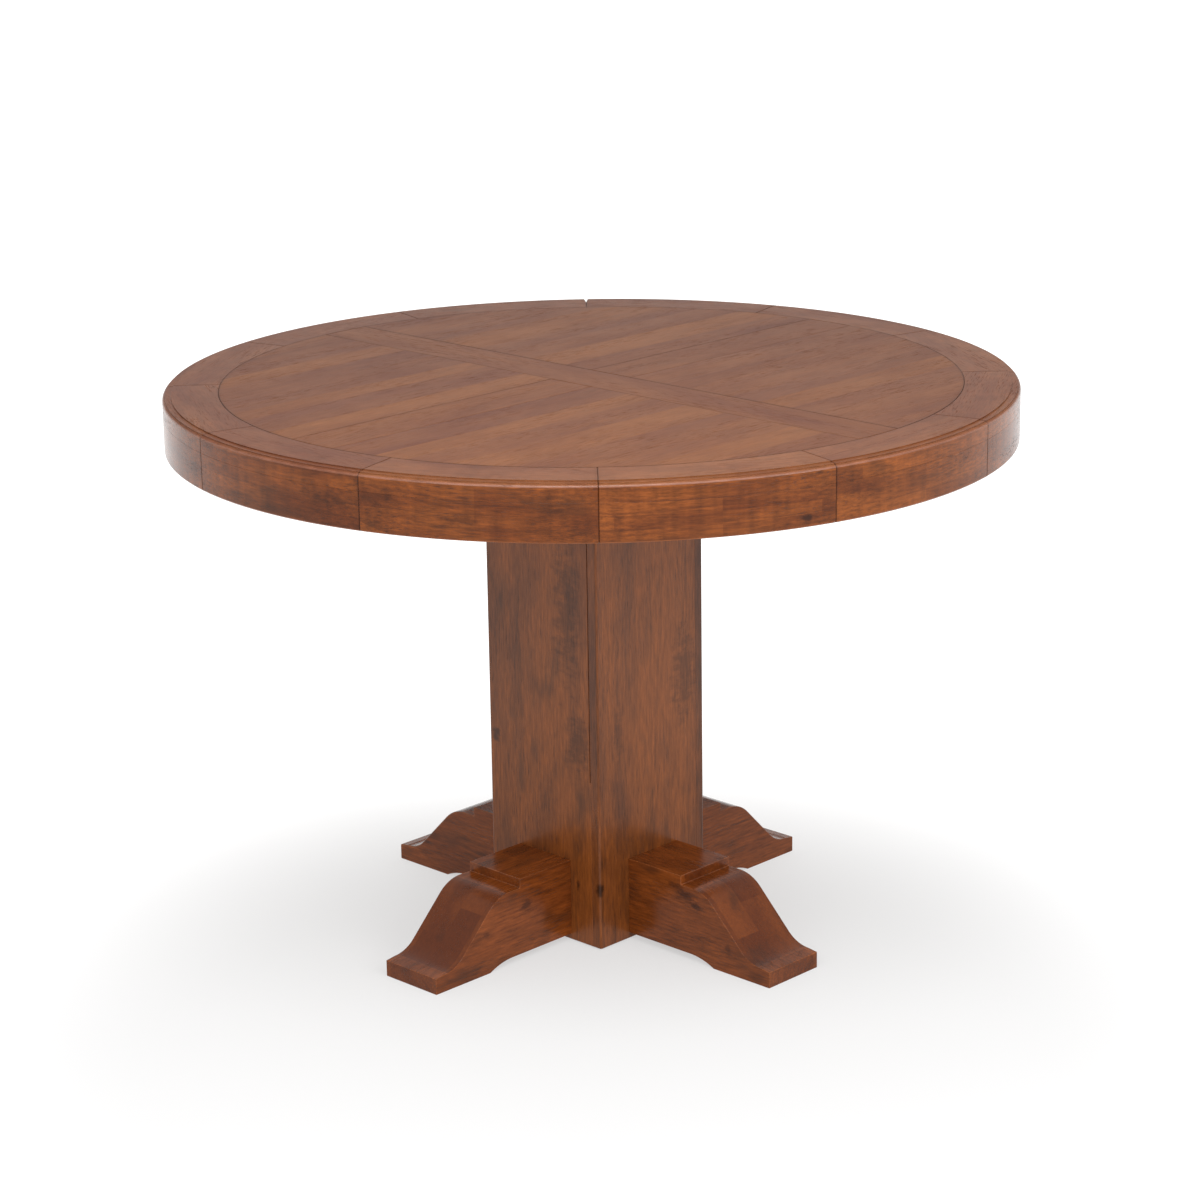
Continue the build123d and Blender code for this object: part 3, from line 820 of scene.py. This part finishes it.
# Studio. The camera's azimuth to the nearest degree places the floor's glow, with its painted shadow in front
# of the table, and the light overhead.
VIEW_AZIMUTH = 44
FLOOR_RADIUS = 60.0
FLOOR_SIDES = 96
HORIZON_LIGHT = 1.0
LOW_LIGHT = 0.2
HIGH_LIGHT = 0.85
CEILING_LIGHT = 0.9

# The floor: its greys, and its own light, dimmer near a centre in front of the table as a painted shadow of
# the table and brighter far from it
FLOOR_GREYS = (0.26, 0.28)
PAINTED_SHADOW_CENTRE = 0.5
PAINTED_SHADOW_REACH = (0.55, 1.5)
GLOW = (0.535, 1.05)


def make_floor():
    """A wide pale floor that glows: its glow is dimmer near the table as a painted shadow, and white further
    away.
    """
    material, graph, shader = principled(
        "floor", Roughness=0.9, Specular_IOR_Level=0.0, Emission_Color=(1, 1, 1, 1)
    )
    place = graph.node("ShaderNodeTexCoord").outputs["Object"]
    cloud = graph.noise(place, (0.8, 0.8, 0.8), 2)
    dark, light = [(grey, grey, grey, 1) for grey in FLOOR_GREYS]
    graph.feed(shader.inputs["Base Color"], graph.blend(cloud, dark, light))
    away = graph.vector("LENGTH", graph.vector("SUBTRACT", place, around(VIEW_AZIMUTH, PAINTED_SHADOW_CENTRE, 0)))
    # The floor's own light, dimmed near the table: a painted shadow.
    graph.feed(shader.inputs["Emission Strength"], graph.ramp(away, *PAINTED_SHADOW_REACH, *GLOW))
    angles = [math.tau * i / FLOOR_SIDES for i in range(FLOOR_SIDES)]
    outline = [(FLOOR_RADIUS * math.cos(angle), FLOOR_RADIUS * math.sin(angle), 0) for angle in angles]
    mesh = bpy.data.meshes.new("floor")
    mesh.from_pydata(outline, [], [list(range(FLOOR_SIDES))])
    mesh.materials.append(material)
    floor = bpy.data.objects.new("floor", mesh)
    bpy.context.scene.collection.objects.link(floor)


def make_world():
    """White light from all round: a pale horizon, and dimmer low down than overhead."""
    world = bpy.data.worlds.new("studio")
    world.use_nodes = True
    graph = Graph(world.node_tree)
    background = world.node_tree.nodes["Background"]
    direction = graph.node("ShaderNodeTexCoord").outputs["Generated"]
    graph.feed(background.inputs["Color"], (1, 1, 1, 1))
    height = graph.split(direction)[2]
    horizon = graph.ramp(height, 0.14, 0.28, HORIZON_LIGHT, LOW_LIGHT)
    rising = graph.ramp(height, 0.32, 0.55, 0.0, HIGH_LIGHT - LOW_LIGHT)
    graph.feed(background.inputs["Strength"], graph.math("ADD", horizon, rising))
    bpy.context.scene.world = world


def make_ceiling():
    """Soft light from a wide disc overhead."""
    light = bpy.data.lights.new("ceiling", "SUN")
    light.angle = math.radians(60)
    light.energy = CEILING_LIGHT
    bpy.context.scene.collection.objects.link(bpy.data.objects.new("ceiling", light))


def softbox(name, place, aim, size, power):
    """A square soft light that faces a point."""
    light = bpy.data.lights.new(name, "AREA")
    light.shape = "SQUARE"
    light.size = size
    light.energy = power
    obj = bpy.data.objects.new(name, light)
    obj.location = place
    obj.rotation_euler = (Vector(aim) - Vector(place)).to_track_quat("-Z", "Y").to_euler()
    bpy.context.scene.collection.objects.link(obj)


def around(azimuth, distance, height):
    """A point at an azimuth in degrees (0 is along -Y, 90 along +X), a distance out and a height."""
    angle = math.radians(azimuth)
    return Vector((distance * math.sin(angle), -distance * math.cos(angle), height))


def make_camera():
    camera = bpy.data.objects.new("camera", bpy.data.cameras.new("camera"))
    camera.data.sensor_width = SENSOR_WIDTH
    camera.data.lens = LENS
    camera.location = around(math.degrees(CAMERA_AZIMUTH), CAMERA_DISTANCE, CAMERA_HEIGHT)
    heading = Matrix.Rotation(CAMERA_AZIMUTH - CAMERA_YAW, 3, "Z")
    tilt = Matrix.Rotation(math.pi / 2 - CAMERA_PITCH, 3, "X")
    roll = Matrix.Rotation(CAMERA_ROLL, 3, "Z")
    camera.rotation_euler = (heading @ tilt @ roll).to_euler()
    bpy.context.scene.collection.objects.link(camera)
    bpy.context.scene.camera = camera


# Soft lights: each one's place, aim, width and power
SOFTBOXES = {
    "overhead": (around(VIEW_AZIMUTH, 1.2, 2.0), (0, 0, TOP), 1.0, 24),
    "key": (around(85, 3.5, 2.0), (0, 0, 0.5), 2.2, 72),
    "fill": (around(15, 3.2, 1.7), (0, 0, 0.4), 1.8, 30),
}

lay_out_wood()
finish_pieces(make_materials())
make_floor()
make_world()
make_ceiling()
for name, setting in SOFTBOXES.items():
    softbox(name, *setting)
make_camera()
bpy.context.scene.view_settings.view_transform = "Standard"
